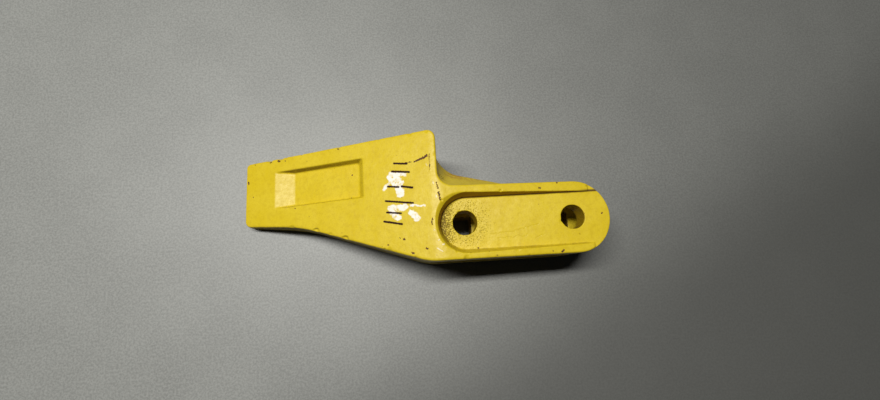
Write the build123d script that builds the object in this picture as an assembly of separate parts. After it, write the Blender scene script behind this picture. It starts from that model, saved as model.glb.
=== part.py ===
from build123d import *
import math
import os

# Bolt-on side tooth for an excavator bucket, cast in one piece. Millimetres.
# +X runs to the rear of the fork, +Y to the wing side and +Z up.
# The origin is on the front bolt's axis, on the seat under the upper leg.

# Bolts and bucket lip
bolt_hole_diameter = 20.0
bolt_pitch = 89.0
square_hole_side = 20.0
jaw_gap = 22.0
jaw_depth = 28.0  # from the front bolt's axis to the end of the jaw
jaw_corner_radius = 6.0

# Fork
leg_width = 59.0
leg_end = 91.0  # the legs' round ends are struck from here
leg_thickness = 18.0
channel_width = 42.6
channel_centre = -0.8  # the floor is a little nearer the outer rail
channel_draft = 16.0  # degrees
channel_end = 1.7  # the channel's round end is struck from here
rail_height_front = 12.0
rail_height_rear = 0.1
rail_end = 104.0  # from here back the upper leg's top is level
lower_rail_height = 7.0

# Ridge between the fork and the blade
ridge_setback = 22.0
ridge_radius = 25.0
bevel_depth = 3.0
bevel_radius = 25.7
bevel_slope = 51.0  # degrees from the bolt's axis

# Blade and wing
tip_reach = 195.5
tip_thickness = 12.5
tip_inner_side = 14.1
wing_side = 77.2
wing_taper = 3.8  # fall of the wing's outer side from its rear to the tip
wing_rear = 20.4
waist = (-139.5, 8.3)  # where the blade's inner side turns
blade_root = -29.9
waist_radius = 160.0
blade_root_radius = 45.0
wing_corner_radius = 7.0
tip_outer_radius = 4.0
tip_inner_radius = 6.0

# Pocket in the blade's upper face
pocket_start = -165.5
pocket_ramp_end = -147.5
pocket_floor_end = -85.9
pocket_end = -82.0
pocket_centre = 44.6
pocket_width = 33.8
pocket_depth = 7.2
pocket_draft = 15.0  # degrees

# Flare that ties the wing to the fork
inner_corner_radius = 12.0
flare_seat_run = 80.0
flare_seat_slope = 13.5  # degrees
flare_seat_radius = 26.0
flare_top_run = 10.0
flare_top_slope = 4.0  # degrees
flare_top_radius = 9.0
flare_drop = 3.0  # the flare starts this far under the ridge

edge_radius = 1.6

# Worked out from the sizes above
leg_half = leg_width / 2
rear_reach = leg_end + leg_half
floor_z = leg_thickness
ridge_z = floor_z + rail_height_front
lower_seat_z = -jaw_gap
lower_floor_z = lower_seat_z - leg_thickness
underside_z = lower_floor_z - lower_rail_height
tip_top_z = underside_z + tip_thickness
blade_rise = (ridge_z - tip_top_z) / (tip_reach - ridge_setback)
past = 5.0  # how far a cutting body runs past the casting


def blade_top(x):
    return tip_top_z + (x + tip_reach) * blade_rise


def rounded(sketch, x, y, radius):
    vertex = sketch.vertices().sort_by_distance((x, y, 0))[0]
    return fillet(vertex, radius)


def across(face):
    # Turns a profile drawn in X and Z into a body as wide as the casting
    middle = (wing_side - leg_half) / 2
    reach = (wing_side + leg_half) / 2 + past
    return extrude(Plane.XZ.offset(-middle) * face, reach, both=True)


def plan_outline():
    blade = make_face(
        Polyline(
            (-wing_rear, wing_side),
            (-tip_reach, wing_side - wing_taper),
            (-tip_reach, tip_inner_side),
            waist,
            (blade_root, -leg_half),
            (-wing_rear, -leg_half),
            close=True,
        )
    )
    leg_length = leg_end + wing_rear
    leg = Pos(leg_length / 2 - wing_rear, 0) * Rectangle(leg_length, leg_width)
    plan = blade + leg + Pos(leg_end, 0) * Circle(leg_half)
    plan = rounded(plan, -wing_rear, wing_side, wing_corner_radius)
    plan = rounded(plan, -tip_reach, wing_side - wing_taper, tip_outer_radius)
    plan = rounded(plan, -tip_reach, tip_inner_side, tip_inner_radius)
    plan = rounded(plan, *waist, waist_radius)
    plan = rounded(plan, blade_root, -leg_half, blade_root_radius)
    return rounded(plan, -wing_rear, leg_half, inner_corner_radius)


def side_profile():
    profile = make_face(
        Polyline(
            (-tip_reach, underside_z),
            (-tip_reach, tip_top_z),
            (-ridge_setback, ridge_z),
            (rear_reach, floor_z + rail_height_rear),
            (rear_reach, underside_z),
            close=True,
        )
    )
    return rounded(profile, -ridge_setback, ridge_z, ridge_radius)


def body():
    prism = extrude(plan_outline(), ridge_z - underside_z)
    solid = Pos(0, 0, underside_z) * prism & across(side_profile())
    flat_edges = solid.edges().filter_by(Axis.Z, reverse=True)
    seams = flat_edges.filter_by(Axis.Y).filter_by(lambda edge: edge.center().X > -tip_reach + 1)
    return fillet(flat_edges - seams, edge_radius)


def flare_section(z, run, slope, radius):
    # The corner between the wing's rear wall and the leg's side: a slope off the leg, then an arc
    wall_x = -wing_rear
    corner_y = leg_half + run * math.tan(math.radians(slope))
    arc_run = radius / math.tan(math.radians(45 + slope / 2))
    section = make_face(
        Polyline(
            (wall_x, corner_y),
            (wall_x + run, leg_half),
            (wall_x + run, leg_half - past),
            (wall_x - past, leg_half - past),
            (wall_x - past, corner_y + arc_run + 1),
            (wall_x, corner_y + arc_run + 1),
            close=True,
        )
    )
    return Pos(0, 0, z) * rounded(section, wall_x, corner_y, radius)


def flare():
    # Narrow at the top and bottom of the casting and broad at the two seats
    top = flare_section(ridge_z - flare_drop, flare_top_run, flare_top_slope, flare_top_radius)
    seat = flare_section(0, flare_seat_run, flare_seat_slope, flare_seat_radius)
    upper = loft([seat, top], ruled=True)
    lower = mirror(upper, about=Plane((0, 0, -jaw_gap / 2)))
    return upper + (lower & across(side_profile()))


def jaw():
    slot = make_face(
        Polyline(
            (-jaw_depth, 0),
            (rear_reach + past, 0),
            (rear_reach + past, lower_seat_z),
            (-jaw_depth, lower_seat_z),
            close=True,
        )
    )
    slot = rounded(slot, -jaw_depth, 0, jaw_corner_radius)
    slot = rounded(slot, -jaw_depth, lower_seat_z, jaw_corner_radius)
    return across(slot)


def step():
    # Levels the upper leg's top behind the rails
    length = rear_reach + past - rail_end
    width = leg_width + past
    return Pos(rail_end + length / 2, 0, floor_z + past / 2) * Box(length, width, past)


def channel(depth):
    # Open at the rear, round at the front, wider at the mouth than at the floor
    length = rear_reach + past - channel_end
    floor = Pos(channel_end + length / 2, channel_centre) * Rectangle(length, channel_width)
    floor += Pos(channel_end, channel_centre) * Circle(channel_width / 2)
    return extrude(floor, depth, taper=-channel_draft)


def ridge_bevel():
    spread = math.tan(math.radians(bevel_slope))
    low = bevel_radius - bevel_depth * spread
    high = bevel_radius + past * spread
    height = bevel_depth + past
    return Pos(0, 0, ridge_z + past - height / 2) * Cone(low, high, height)


def pocket():
    start_z = blade_top(pocket_start)
    end_z = blade_top(pocket_end)
    profile = make_face(
        Polyline(
            (pocket_start, start_z),
            (pocket_ramp_end, blade_top(pocket_ramp_end) - pocket_depth),
            (pocket_floor_end, blade_top(pocket_floor_end) - pocket_depth),
            (pocket_end, end_z),
            (pocket_end, end_z + past),
            (pocket_start, start_z + past),
            close=True,
        )
    )
    middle_x = (pocket_start + pocket_end) / 2
    lean = -math.degrees(math.atan(blade_rise))
    on_blade = Pos(middle_x, pocket_centre, blade_top(middle_x)) * Rot(0, lean, 0)
    length = (pocket_end - pocket_start) / math.cos(math.radians(lean)) + 4 * past
    mouth = Rectangle(length, pocket_width)
    below = extrude(mouth, -2 * pocket_depth, taper=pocket_draft)
    above = extrude(mouth, past)
    return on_blade * (below + above) & across(profile)


def bolt_holes():
    upper = Pos(0, 0, floor_z / 2) * Cylinder(bolt_hole_diameter / 2, floor_z + past)
    lower_z = (lower_seat_z + lower_floor_z) / 2
    height = leg_thickness + past
    lower = Pos(0, 0, lower_z) * Box(square_hole_side, square_hole_side, height)
    pair = upper + lower
    return pair + Pos(bolt_pitch, 0, 0) * pair


def tooth_casting():
    solid = body() + flare()
    solid -= jaw()
    solid -= step()
    solid -= Pos(0, 0, floor_z) * channel(rail_height_front + past)
    solid -= Pos(0, 0, lower_floor_z) * mirror(channel(lower_rail_height + past), about=Plane.XY)
    solid -= ridge_bevel()
    solid -= pocket()
    return solid - bolt_holes()


os.makedirs("parts", exist_ok=True)
export_step(tooth_casting(), "parts/tooth_casting.step")
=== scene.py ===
import random
from types import SimpleNamespace

import bmesh
import bpy
import numpy as np
from mathutils import Matrix, Vector


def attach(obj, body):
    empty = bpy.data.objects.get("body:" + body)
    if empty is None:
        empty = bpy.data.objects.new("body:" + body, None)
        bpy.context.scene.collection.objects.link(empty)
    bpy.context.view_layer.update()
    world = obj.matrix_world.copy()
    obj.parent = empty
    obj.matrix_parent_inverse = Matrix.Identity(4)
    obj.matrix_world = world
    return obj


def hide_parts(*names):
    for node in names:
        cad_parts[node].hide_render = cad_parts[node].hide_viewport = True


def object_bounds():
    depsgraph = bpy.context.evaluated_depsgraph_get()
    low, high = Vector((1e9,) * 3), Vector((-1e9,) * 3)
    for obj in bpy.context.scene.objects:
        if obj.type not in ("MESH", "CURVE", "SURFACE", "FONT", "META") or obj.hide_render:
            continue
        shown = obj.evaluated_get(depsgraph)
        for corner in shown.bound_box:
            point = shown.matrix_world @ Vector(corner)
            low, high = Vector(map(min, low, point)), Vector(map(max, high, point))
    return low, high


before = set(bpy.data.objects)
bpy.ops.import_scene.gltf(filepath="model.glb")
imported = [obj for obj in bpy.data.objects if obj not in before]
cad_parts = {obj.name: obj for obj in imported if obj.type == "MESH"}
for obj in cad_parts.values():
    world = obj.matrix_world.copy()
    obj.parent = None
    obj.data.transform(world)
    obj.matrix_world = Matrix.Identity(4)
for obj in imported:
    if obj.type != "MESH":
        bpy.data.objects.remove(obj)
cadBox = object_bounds()
mm = 0.001
tableHeight = cadBox[0][2]
print("frame loaded")


# Shader nodes

class Wire:
    # A socket. Arithmetic on wires adds Math nodes to the wire's tree.
    def __init__(self, socket):
        self.socket = socket

    def node(self, kind, settings, inputs, out=0):
        return Wire(addNode(self.socket.id_data, kind, settings, inputs).outputs[out])

    def maths(self, operation, *values, clamp=False):
        settings = {"operation": operation, "use_clamp": clamp}
        return self.node("ShaderNodeMath", settings, dict(enumerate(values)))

    def vector(self, operation, inputs, out=0):
        return self.node("ShaderNodeVectorMath", {"operation": operation}, inputs, out)

    def __add__(self, other):
        return self.maths("ADD", self, other)

    def __sub__(self, other):
        return self.maths("SUBTRACT", self, other)

    def __rsub__(self, other):
        return self.maths("SUBTRACT", other, self)

    def __mul__(self, other):
        return self.maths("MULTIPLY", self, other)

    __radd__ = __add__
    __rmul__ = __mul__


def addNode(tree, kind, settings, inputs):
    node = tree.nodes.new(kind)
    for name, value in settings.items():
        setattr(node, name, value)
    for key, value in inputs.items():
        if isinstance(value, Wire):
            tree.links.new(value.socket, node.inputs[key])
        elif hasattr(value, "__len__") and len(node.inputs[key].default_value) == 4:
            node.inputs[key].default_value = (*value, 1)
        else:
            node.inputs[key].default_value = value
    return node


def newMaterial(name):
    material = bpy.data.materials.new(name)
    material.use_nodes = True
    tree = material.node_tree
    tree.nodes.clear()
    surface = tree.nodes.new("ShaderNodeBsdfPrincipled")
    output = tree.nodes.new("ShaderNodeOutputMaterial")
    tree.links.new(surface.outputs["BSDF"], output.inputs["Surface"])
    return material, tree, surface


def inMillimetres(tree):
    place = Wire(addNode(tree, "ShaderNodeTexCoord", {}, {}).outputs["Object"])
    return place.vector("SCALE", {0: place, "Scale": 1000})


def parts(vector):
    # A vector's three numbers
    split = addNode(vector.socket.id_data, "ShaderNodeSeparateXYZ", {}, {"Vector": vector})
    return [Wire(socket) for socket in split.outputs]


def attribute(tree, name):
    return Wire(addNode(tree, "ShaderNodeAttribute", {"attribute_name": name}, {}).outputs["Fac"])


def noise(place, size, detail=2, roughness=0.5):
    # size is in millimetres
    inputs = {"Vector": place, "Scale": 1 / size, "Detail": detail, "Roughness": roughness}
    return place.node("ShaderNodeTexNoise", {}, inputs)


def drift(place, scale, detail):
    # Noise in three directions, from -0.5 to 0.5. scale is in waves a millimetre.
    inputs = {"Vector": place, "Scale": scale, "Detail": detail}
    colour = place.node("ShaderNodeTexNoise", {}, inputs, out="Color")
    return colour.vector("SUBTRACT", {0: colour, 1: (0.5, 0.5, 0.5)})


def shifted(place, by, amount):
    # place moved sideways by a drift, amount millimetres for each 1 of it
    return by.vector("MULTIPLY_ADD", {0: by, 1: (amount, amount, 0), 2: place})


def scattered(place, spacing):
    # Millimetres to the nearest of some scattered points, and three random numbers for that point
    inputs = {"Vector": place, "Scale": 1 / spacing}
    cells = addNode(place.socket.id_data, "ShaderNodeTexVoronoi", {"feature": "F1"}, inputs)
    return Wire(cells.outputs["Distance"]) * spacing, parts(Wire(cells.outputs["Color"]))


def ramp(value, low, high):
    # 0 below low and 1 above high, or the other way round if high is the smaller
    inputs = {"Value": value, "From Min": low, "From Max": high}
    return value.node("ShaderNodeMapRange", {"interpolation_type": "SMOOTHSTEP"}, inputs)


def blend(mask, under, over):
    settings = {"data_type": "RGBA", "clamp_factor": True}
    return mask.node("ShaderNodeMix", settings, {0: mask, 6: under, 7: over}, out=2)


def smaller(first, second):
    return first.maths("MINIMUM", first, second)


def larger(first, second):
    return first.maths("MAXIMUM", first, second)


def strokeDistance(place, start, end):
    # Millimetres from the line between two points, seen from above
    start, end = Vector((*start, 0)), Vector((*end, 0))
    run = end - start
    share = run / run.length_squared
    along = place.vector("DOT_PRODUCT", {0: place, 1: share}, out="Value")
    along = along.maths("SUBTRACT", along, start.dot(share), clamp=True)
    nearest = place.vector("SCALE", {0: run, "Scale": along})
    nearest = place.vector("ADD", {0: nearest, 1: start})
    return place.vector("DISTANCE", {0: place, 1: nearest}, out="Value")


def strokes(place, lines, softness):
    # 1 inside the strokes and 0 outside. Each line is its start, its end and its half width.
    gap = None
    for start, end, half in lines:
        edge = strokeDistance(place, start, end) - half
        gap = edge if gap is None else smaller(gap, edge)
    return ramp(gap, softness, -softness)


# Paint

paintLook = {
    "yellow": (0.54, 0.402, 0.012),
    "paleYellow": (0.59, 0.455, 0.03),
    "deepYellow": (0.44, 0.31, 0.006),
    "bareSteel": (0.022, 0.014, 0.009),
    "rust": (0.16, 0.055, 0.012),
    # Grime on the bare grains, and also the painted shade line along the channel's foot
    "dustAndShade": (0.24, 0.155, 0.012),
    # Dust and painted shade in the creases
    "grimeAndPaintedShade": (0.05, 0.018, 0.003),
    # Painted shade on the channel's wall on the wing's side
    "paintedWallShade": (0.24, 0.090, 0.001),
    # The colour the upright sides darken to, low down
    "darkerLowSides": (0.13, 0.082, 0.010),
    "rustStain": (0.34, 0.14, 0.012),
    "holeRust": (0.17, 0.075, 0.006),
    "wornEdge": (0.50, 0.33, 0.12),
    "crumbs": (0.70, 0.60, 0.36),
    "whitePaint": (0.74, 0.71, 0.64),
    "ink": (0.018, 0.001, 0.001),
    "roughness": 0.40,
    "sheen": 0.25,
    "skinSize": 1.5,  # millimetres, the grain of the casting under the paint
    "swellSize": 6,  # millimetres, the broader swells of the casting
    "skinDepth": 0.07,
    # How far each layer hides the ones below it, from 0 to 1
    "palePatches": 0.5,
    "deepPatches": 0.5,
    "deepGrain": 0.55,
    "flareStain": 0.7,
    "thinEdges": 0.65,
    # Dust and painted shade in the creases
    "creaseDustAndShade": 0.6,
    # Painted shade on the channel's wall and along its foot
    "paintedWallShadeCover": 0.85,
    "paintedFootShadeCover": 0.9,
    "specks": 0.6,
    "paleCrumbs": 0.8,
    "channelWrinkles": 0.4,
}

# Where the holes and the channel are, in millimetres
castingPlaces = {
    "rearHole": (89, 0, 0),  # the front hole is at the origin
    "holeRim": 10.9,
    "holeWall": 10.4,
    "channelEnd": 1.7,  # the channel's round end is struck from here
    "channelCentre": -0.8,
    "channelWidth": 42.6,
}

# Marks on the upper faces, seen from above: start, end and half width, in millimetres
paintMarks = {
    "daubs": [  # white paint on the blade
        ((-57, 41), (-52, 35), 4.2),
        ((-52, 34), (-51, 27), 3.4),
        ((-58, 39), (-65, 31), 1.0),
        ((-53, 43), (-46, 42), 1.4),
        ((-60, 15.5), (-48, 15), 2.6),
        ((-58, 11), (-53, 7.5), 2.2),
        ((-43, 15.8), (-32, 14.6), 0.7),
        ((-42, 9.5), (-38.5, 5), 2.5),
    ],
    "tallies": [  # dark marker strokes over the daubs
        ((-55, 52.6), (-44.5, 50.6), 0.8),
        ((-57, 46), (-43, 43.4), 0.9),
        ((-61, 33.8), (-52, 32.2), 0.8),
        ((-49.5, 32.4), (-41, 30.2), 0.9),
        ((-63.2, 21.9), (-41, 17.6), 0.8),
        ((-62.4, 12.4), (-51, 10.4), 0.8),
        ((-65, 5.2), (-50.6, 1.6), 0.85),
    ],
    "crumbs": [  # pale crumbs of paint that stand up along the ridge
        ((-23, -13.6), (-22.2, -13.2), 0.6),
        ((-19.6, -17.4), (-18.8, -17), 0.7),
        ((-26, -6), (-25.4, -5.4), 0.4),
        ((-24.4, 33), (-24, 31), 0.4),
        ((-22.4, 22), (-22.2, 20), 0.5),
        ((-29, 48), (-28.4, 47), 0.5),
        ((-24, -20), (-20, -22.4), 0.5),
    ],
    "wrinkles": [  # in the paint on the channel's floor
        ((20, -10.4), (40, -8.6), 0.3),
        ((40, -8.6), (60, -4.3), 0.3),
        ((26, -14.2), (50, -12.6), 0.2),
        ((56, -16), (63, -13), 0.3),
    ],
    "chips": [  # bare steel on the ridge, the blade and the legs
        ((-38, 51.5), (-31, 53.5), 0.7),
        ((-31, 53.5), (-28, 54.8), 1.1),
        ((-46, 51.5), (-40, 51.6), 0.25),
        ((-26, 56), (-26.3, 43), 0.22),
        ((-21.8, 32), (-20.6, 27), 0.45),
        ((-20.4, 24), (-19.6, 18), 0.6),
        ((-26.5, 3.5), (-27, -1), 0.55),
        ((-50, -10.3), (-49, -10.8), 0.6),
        ((-53, -9), (-52.4, -9.8), 0.35),
        ((-32.5, -19.4), (-31.5, -19.8), 0.7),
        ((-43.5, -21.8), (-42, -22.2), 0.6),
        ((-62.8, -13.7), (-62.2, -14), 0.4),
        ((-161, 71.4), (-162.5, 72), 0.8),
        ((-155.6, 70.6), (-155, 70.9), 0.5),
        ((-170.8, 71.4), (-169.5, 71.8), 0.6),
        ((-104.2, 73.3), (-103.6, 73.6), 0.7),
        ((-133.8, 66.8), (-133.4, 67), 0.4),
        ((-193.2, 56), (-192.8, 54), 0.7),
        ((-145.3, 25.4), (-144.9, 25.7), 0.5),
        ((62, 24.4), (63.4, 24.2), 0.5),
        ((77.4, 28.2), (77.9, 28.3), 0.5),
        ((75.2, -27.8), (77, -27), 0.8),
        ((67.6, -27), (68, -27), 0.45),
        ((22, -28), (22.5, -28), 0.5),
        ((1.7, -24.6), (2, -24.4), 0.35),
        ((113.4, 1.5), (113.8, 1.7), 0.55),
    ],
}


# In the functions below, at holds what the paint's layers measure at each point, in millimetres,
# and a ramp on x, y or z fades a layer in or out between two places on the casting

def measures(tree):
    at = SimpleNamespace(place=inMillimetres(tree))
    at.x, at.y, at.z = parts(at.place)
    normal = addNode(tree, "ShaderNodeNewGeometry", {}, {}).outputs["Normal"]
    at.facing = parts(Wire(normal))[2]  # 1 facing up, 0 upright and -1 facing down
    at.upwards = ramp(at.facing, 0.2, 0.5)
    at.edge = attribute(tree, "edge")
    at.crease = attribute(tree, "crease")
    at.grain = noise(at.place, 0.9, 3, 0.6)
    at.coarse = noise(at.place, 1.05, 3, 0.65)
    at.mottle = noise(at.place, 3.5, 3, 0.6)
    at.broad = noise(at.place, 22, 2)
    at.across = at.place.vector("MULTIPLY", {0: at.place, 1: (1, 1, 0)})
    at.fromHole = at.across.vector("LENGTH", {0: at.across}, out="Value")
    at.onFloor = ramp(at.z, 22, 19) * ramp(at.z, 15, 17) * ramp(at.x, -24, -22)
    return at


def paintCoat(at):
    # Thick and thin paint
    look = paintLook
    pale = ramp(at.broad, 0.35, 0.65) * look["palePatches"]
    colour = blend(pale, look["yellow"], look["paleYellow"])
    deep = ramp(at.mottle, 0.42, 0.75) * look["deepPatches"]
    colour = blend(deep, colour, look["deepYellow"])
    deep = ramp(at.grain, 0.45, 0.75) * look["deepGrain"]
    return blend(deep, colour, look["deepYellow"])


def darkerLowSides(at):
    # Darker low on the upright sides
    steep = ramp(at.facing.maths("ABSOLUTE", at.facing), 0.5, 0.2)
    return steep * ramp(at.z, 14, -24) * (ramp(at.mottle, 0.3, 0.7) * 0.25 + 0.45)


def flareStain(at):
    # Rust on the flare
    flare = ramp(at.y, 35, 41) * ramp(at.x, -15, -9) * ramp(at.x, 48, 20) * ramp(at.z, 14, 5)
    return flare * ramp(at.mottle + (at.grain - 0.5) * 0.5, 0.42, 0.58)


def thinEdges(at):
    # Edges rubbed thin near the tip
    thin = ramp(at.edge + (at.mottle - 0.5) * 1.6, 0.5, 0.85)
    return thin * ramp(at.x, -95, -150) * ramp(at.z, -48, -40)


def creaseDustAndShade(at):
    # Dust and painted shade in the creases, where the casting curves inwards
    return ramp(at.crease + (at.mottle - 0.5) * 0.6, 0.3, 0.9)


def holeGrains(at):
    # Bare grains of the casting round the front bolt hole and towards the ridge
    inChannel = at.onFloor * at.upwards
    nearHole = ramp(at.fromHole, 31, 14) * inChannel
    byRidge = ramp(at.x, -6, -17) * inChannel
    grains = ramp(at.coarse + nearHole * 0.08 + byRidge * 0.13, 0.64, 0.69)
    return grains * larger(nearHole, byRidge), byRidge * 0.3 + 0.5


def holeRust(at):
    # Rust and dirt in both bolt holes
    spot = castingPlaces
    fromRear = at.across.vector("DISTANCE", {0: at.across, 1: spot["rearHole"]}, out="Value")
    inHole = ramp(smaller(at.fromHole, fromRear), spot["holeRim"], spot["holeWall"])
    return inHole * ramp(at.z, 17.6, 16.5) * (ramp(at.coarse, 0.35, 0.65) * 0.4 + 0.35)


def channelPaintedShade(at):
    # Painted shade on the channel's wall on the wing's side and round its front, and a painted shade line
    # along its foot
    spot = castingPlaces
    behind = smaller(at.x - spot["channelEnd"], 0)
    aside = at.y - spot["channelCentre"]
    fromFoot = behind.maths("SQRT", behind * behind + aside * aside) - spot["channelWidth"] / 2
    # Only on the wing's side of the channel, the side in shade
    shadedSide = ramp(at.y, -14, 2) * ramp(at.z, 17, 18) * ramp(at.x, -26, -23)
    wallShade = ramp(at.facing, 0.65, 0.4) * ramp(fromFoot, 5, 3.6) * shadedSide
    footShade = ramp(fromFoot, -0.7, 0) * ramp(fromFoot, 2.2, 0.9) * ramp(at.z, 20.5, 19) * shadedSide
    return wallShade, footShade


def rustSpecks(at):
    away, chance = scattered(at.place, 6)
    return ramp(away + (at.grain - 0.5) * 1.5, 0.5, 0.25) * ramp(chance[1], 0.5, 0.9)


def bareSteel(at, ragged):
    # Chips, pits and rubbed edges
    chipped = strokes(ragged, paintMarks["chips"], 0.15) * at.upwards
    away, chance = scattered(at.place, 13)
    pitted = ramp(away + (at.mottle - 0.5) * 3, 0.75, 0.45) * ramp(chance[0], 0.5, 0.55)
    rubbed = ramp(at.edge * 0.8 + (at.mottle - 0.5) * 1.6 + (at.broad - 0.5) * 1.2, 0.92, 1.02)
    return larger(larger(chipped, pitted), rubbed)


def paintMaterial():
    look = paintLook
    material, tree, surface = newMaterial("yellow_paint")
    at = measures(tree)

    # The coat, the dirt and rust on it, the darker low sides, and painted shade in the creases and in the
    # channel
    colour = paintCoat(at)
    # Darker low on the upright sides
    lowSides = darkerLowSides(at)
    colour = blend(lowSides, colour, look["darkerLowSides"])
    colour = blend(flareStain(at) * look["flareStain"], colour, look["rustStain"])
    colour = blend(thinEdges(at) * look["thinEdges"], colour, look["wornEdge"])
    # Dust and painted shade in the creases
    colour = blend(creaseDustAndShade(at) * look["creaseDustAndShade"], colour, look["dustAndShade"])
    grains, grainCover = holeGrains(at)
    colour = blend(grains * grainCover, colour, look["grimeAndPaintedShade"])
    colour = blend(holeRust(at), colour, look["holeRust"])
    # Painted shade on the channel's wall and a painted shade line along its foot
    wallShade, footShade = channelPaintedShade(at)
    colour = blend(wallShade * look["paintedWallShadeCover"], colour, look["paintedWallShade"])
    colour = blend(footShade * look["paintedFootShadeCover"], colour, look["grimeAndPaintedShade"])
    colour = blend(rustSpecks(at) * look["specks"], colour, look["rust"])

    # Bare steel and crumbs, with ragged edges
    wobble = drift(at.place, 0.9, 2)
    ragged = shifted(at.across, wobble, 2.4)
    bare = bareSteel(at, ragged)
    steel = blend(ramp(at.grain, 0.4, 0.6), look["bareSteel"], look["rust"])
    colour = blend(bare, colour, steel)
    crumbed = strokes(ragged, paintMarks["crumbs"], 0.2) * at.upwards
    colour = blend(crumbed * look["paleCrumbs"], colour, look["crumbs"])

    # Wrinkles, white daubs and the marker strokes over them
    brushed = shifted(at.across, drift(at.place, 0.28, 3), 5)
    wrinkled = strokes(brushed, paintMarks["wrinkles"], 0.6) * at.onFloor
    colour = blend(wrinkled * look["channelWrinkles"], colour, look["deepYellow"])
    cover = ramp(at.mottle + (at.grain - 0.5) * 0.5, 0.30, 0.44)
    daubed = strokes(brushed, paintMarks["daubs"], 0.5) * cover * at.upwards
    colour = blend(daubed * (ramp(at.mottle, 0.35, 0.6) * 0.3 + 0.7), colour, look["whitePaint"])
    penned = shifted(at.across, wobble, 0.9)
    inked = strokes(penned, paintMarks["tallies"], 0.3) * at.upwards
    colour = blend(inked, colour, look["ink"])

    # The darker low sides, the grains, steel, ink and the painted shade line at the channel's foot are
    # duller than the paint
    rough = larger(bare, grains)
    shine = look["roughness"] + (at.mottle - 0.5) * 0.25 + rough * 0.3 + daubed * 0.15
    shine = shine + larger(inked, larger(lowSides, footShade)) * 0.45

    # The casting's skin shows through the paint, chips are sunken and daubs and crumbs stand up
    relief = noise(at.place, look["skinSize"], 4, 0.6) * look["skinDepth"]
    relief = relief + noise(at.place, look["swellSize"], 2) * (2.2 * look["skinDepth"])
    relief = relief - rough * 0.10 - wrinkled * 0.14 + larger(daubed * 0.4, crumbed) * 0.12
    bump = relief.node("ShaderNodeBump", {}, {"Height": relief, "Distance": mm, "Strength": 1})
    for name, value in {"Base Color": colour, "Roughness": shine, "Normal": bump}.items():
        tree.links.new(value.socket, surface.inputs[name])
    surface.inputs["Specular IOR Level"].default_value = look["sheen"]
    return material


# Casting

castingShape = {
    "voxel": 0.5 * mm,
    "softening": 3,  # smoothing passes, which round the cast edges
    "pocketSoftening": 14,
    "pocketMiddle": (-124, 44.6),  # millimetres, as are the next two
    "pocketReach": (47, 22),
    "pocketBottom": -38,
    "unevenSize": 9 * mm,
    "unevenDepth": 0.3 * mm,
    "triangles": 190000,
    "edgePasses": 12,  # smoothing passes that find the sharp edges for the nicks
    "edgeShare": 4,  # per cent of the points that count as edges
    "nickCount": 60,
    "nickRadius": (1.0, 3.2),  # millimetres
    "nickDepth": (0.3, 1.0),
    "seed": 4,
    "bites": [  # knocks in the blade's long edges: x, y, z, radius and depth, in millimetres
        (-125, 4.5, -8.5, 2.4, 2.0),
        (-99, -5, 0.8, 2.6, 2.2),
        (-112, 0, -4, 1.5, 0.8),
        (-148, 9, -17, 2.4, 0.8),
        (-161, 74, -22, 3.0, 1.0),
        (-172, 74, -26, 2.4, 0.8),
        (-104, 75, -1, 1.6, 0.8),
    ],
    "biteSquash": 0.45,  # lengths along the blade count this much, so a bite is long and not round
    "wearPasses": 25,  # smoothing passes that find the edges and corners for the paint
    "wearDepth": 0.45 * mm,  # a point that stands out this far is fully an edge
}


def applyModifiers(piece):
    mesh = bpy.data.meshes.new_from_object(piece.evaluated_get(bpy.context.evaluated_depsgraph_get()))
    piece.modifiers.clear()
    piece.vertex_groups.clear()
    piece.data = mesh


def addModifier(piece, kind, settings):
    modifier = piece.modifiers.new(kind.lower(), kind)
    for name, value in settings.items():
        setattr(modifier, name, value)


def pointValues(mesh, name):
    # The places or the normals of all points
    flat = np.empty(len(mesh.vertices) * 3, np.float32)
    mesh.vertices.foreach_get(name, flat)
    return flat.reshape(-1, 3)


def softenedCasting():
    # The CAD solid with its edges rounded as a sand mould leaves them
    look = castingShape
    shell = bmesh.new()
    shell.from_mesh(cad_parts["tooth_casting"].data)
    bmesh.ops.remove_doubles(shell, verts=shell.verts, dist=0.001 * mm)
    mesh = bpy.data.meshes.new("casting")
    shell.to_mesh(mesh)
    shell.free()
    casting = bpy.data.objects.new("casting", mesh)
    bpy.context.scene.collection.objects.link(casting)
    addModifier(casting, "REMESH", {"mode": "VOXEL", "voxel_size": look["voxel"]})
    applyModifiers(casting)

    # The pocket's edges are blunter than the rest
    points = pointValues(casting.data, "co") / mm
    fromMiddle = abs(points[:, :2] - look["pocketMiddle"])
    inPocket = (fromMiddle < look["pocketReach"]).all(1) & (points[:, 2] > look["pocketBottom"])
    casting.vertex_groups.new(name="pocket").add(np.flatnonzero(inPocket).tolist(), 1, "ADD")
    addModifier(casting, "SMOOTH", {"factor": 0.5, "iterations": look["softening"]})
    blunted = {"factor": 0.5, "iterations": look["pocketSoftening"], "vertex_group": "pocket"}
    addModifier(casting, "SMOOTH", blunted)

    uneven = bpy.data.textures.new("uneven", "CLOUDS")
    uneven.noise_scale = look["unevenSize"]
    uneven.noise_depth = 2
    swells = {"texture": uneven, "texture_coords": "LOCAL", "mid_level": 0.5}
    addModifier(casting, "DISPLACE", {**swells, "strength": look["unevenDepth"]})
    applyModifiers(casting)
    return casting


def bulge(piece, passes):
    # How far each point stands out of a smoothed copy: positive on edges, negative in corners
    before = pointValues(piece.data, "co")
    addModifier(piece, "SMOOTH", {"factor": 0.5, "iterations": passes})
    smoothed = piece.evaluated_get(bpy.context.evaluated_depsgraph_get())
    after = pointValues(smoothed.data, "co")
    piece.modifiers.clear()
    return ((before - after) * pointValues(piece.data, "normal")).sum(1)


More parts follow.
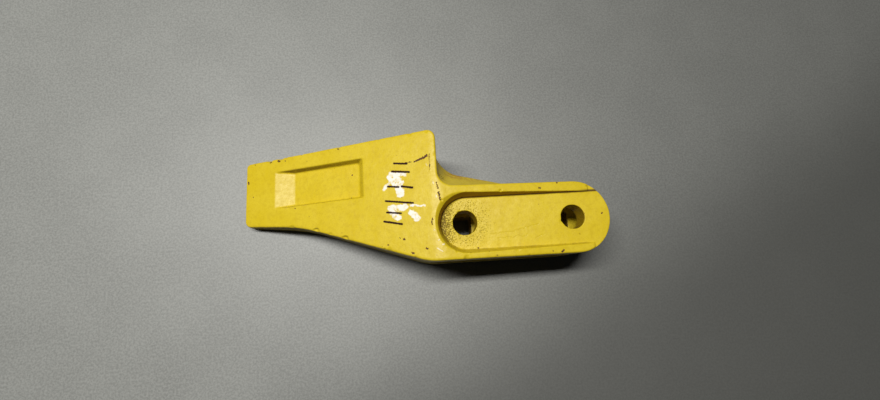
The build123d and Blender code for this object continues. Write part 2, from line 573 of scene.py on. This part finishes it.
def nickEdges(casting):
    # Small knocks along all edges, and the bites
    look = castingShape
    chance = random.Random(look["seed"])
    points = pointValues(casting.data, "co")
    out = bulge(casting, look["edgePasses"])
    onEdge = np.flatnonzero(out > np.percentile(out, 100 - look["edgeShare"]))
    normals = pointValues(casting.data, "normal")
    nicks = []
    for _ in range(look["nickCount"]):
        middle = points[onEdge[chance.randrange(len(onEdge))]]
        nicks.append((middle, chance.uniform(*look["nickRadius"]), chance.uniform(*look["nickDepth"]), 1))
    for x, y, z, radius, depth in look["bites"]:
        gap = np.linalg.norm(points[onEdge] - np.array((x, y, z)) * mm, axis=1)
        nicks.append((points[onEdge[gap.argmin()]], radius, depth, look["biteSquash"]))
    for middle, radius, depth, squash in nicks:
        away = np.linalg.norm((points - middle) * (squash, 1, 1), axis=1) / (radius * mm)
        near = away < 1
        inwards = -normals[near].mean(0)
        inwards /= np.linalg.norm(inwards)
        points[near] += inwards * (depth * mm * ((1 - away[near] ** 2) ** 2)[:, None])
    casting.data.vertices.foreach_set("co", points.ravel())
    casting.data.update()


def store(mesh, name, values):
    layer = mesh.attributes.new(name, "FLOAT", "POINT")
    layer.data.foreach_set("value", values.astype(np.float32))


def castingPiece():
    look = castingShape
    casting = softenedCasting()
    nickEdges(casting)
    triangles = len(casting.data.vertices) * 2
    addModifier(casting, "DECIMATE", {"ratio": min(1, look["triangles"] / triangles)})
    applyModifiers(casting)
    casting.data.polygons.foreach_set("use_smooth", [True] * len(casting.data.polygons))
    out = bulge(casting, look["wearPasses"]) / look["wearDepth"]
    store(casting.data, "edge", np.clip(out, 0, 1))
    store(casting.data, "crease", np.clip(-out, 0, 1))
    casting.data.materials.clear()
    casting.data.materials.append(paintMaterial())
    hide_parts("tooth_casting")
    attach(casting, "root")
    casting.data.calc_loop_triangles()
    print("casting:", len(casting.data.loop_triangles), "triangles")


castingPiece()


# Table, light and camera

tableLook = {
    "size": 6.0,
    "grey": (0.235, 0.24, 0.226),
    "darkGrey": (0.155, 0.158, 0.149),
    # The grey the table darkens to in its painted shade
    "shadedGrey": (0.055, 0.056, 0.052),
    "speckle": 0.85,
    "clouds": 0.15,
    # How strong the table's painted shade is
    "paintedShade": (0.42, 0.7),  # towards the rear, and towards the side without the wing
    "roughness": 0.5,
}


def tableMaterial():
    look = tableLook
    material, tree, surface = newMaterial("grey_table")
    place = inMillimetres(tree)
    speckle = ramp(noise(place, 1.8, 4, 0.75), 0.35, 0.65)
    cloud = ramp(noise(place, 60, 3), 0.35, 0.65)
    colour = blend(speckle * look["speckle"] + cloud * look["clouds"], look["grey"], look["darkGrey"])
    x, y = parts(place)[:2]
    rearShade, sideShade = look["paintedShade"]
    # Painted shade: the table darker towards the rear and towards the side without the wing
    colour = blend(ramp(x, -250, 400) * rearShade, colour, look["shadedGrey"])
    colour = blend(ramp(x * 0.5 - y, 20, 200) * sideShade, colour, look["shadedGrey"])
    tree.links.new(colour.socket, surface.inputs["Base Color"])
    surface.inputs["Roughness"].default_value = look["roughness"]
    return material


def tablePiece():
    top = bmesh.new()
    bmesh.ops.create_grid(top, x_segments=1, y_segments=1, size=tableLook["size"] / 2)
    bmesh.ops.translate(top, verts=top.verts, vec=(0, 0, tableHeight))
    mesh = bpy.data.meshes.new("table")
    top.to_mesh(mesh)
    top.free()
    table = bpy.data.objects.new("table", mesh)
    bpy.context.scene.collection.objects.link(table)
    table.data.materials.append(tableMaterial())


tablePiece()
print("table placed")

lightLook = {
    "lampHeight": 1.5,
    "lampShift": (-0.42, 0.30),  # over the tip and the wing, so that shadows fall away from them
    "lampSize": (1.1, 0.14),
    "power": 38.5,
    "colour": (1.0, 0.985, 0.95),
    "fill": 0.016,
    "fillColour": (0.9, 0.95, 1),
}


def lighting():
    look = lightLook
    lamp = bpy.data.lights.new("lamp", "AREA")
    lamp.shape = "RECTANGLE"
    lamp.size, lamp.size_y = look["lampSize"]
    lamp.energy = look["power"]
    lamp.color = look["colour"]
    holder = bpy.data.objects.new("lamp", lamp)
    holder.location = (*look["lampShift"], look["lampHeight"])
    bpy.context.scene.collection.objects.link(holder)
    world = bpy.data.worlds.new("room")
    world.use_nodes = True
    background = world.node_tree.nodes["Background"]
    background.inputs["Color"].default_value = (*look["fillColour"], 1)
    background.inputs["Strength"].default_value = look["fill"]
    bpy.context.scene.world = world
    bpy.context.scene.view_settings.view_transform = "Standard"


lighting()
print("lights placed")

cameraLook = {
    "place": (-37.76 * mm, -42.06 * mm, 339.56 * mm),
    "right": (0.99693, -0.06332, 0.04595),
    "view": (0.05716, 0.18850, -0.98041),
    "lens": 16.486,
    "sensor": 36,
    "nearest": 10 * mm,  # what is closer to the camera isn't drawn
}


def cameraPiece():
    look = cameraLook
    camera = bpy.data.cameras.new("camera")
    camera.lens = look["lens"]
    camera.sensor_width = look["sensor"]
    camera.clip_start = look["nearest"]
    holder = bpy.data.objects.new("camera", camera)
    right = Vector(look["right"]).normalized()
    back = -Vector(look["view"]).normalized()
    up = back.cross(right)
    turn = Matrix((right, up, back)).transposed()
    holder.matrix_world = Matrix.Translation(look["place"]) @ turn.to_4x4()
    bpy.context.scene.collection.objects.link(holder)
    bpy.context.scene.camera = holder


cameraPiece()
print("camera placed")
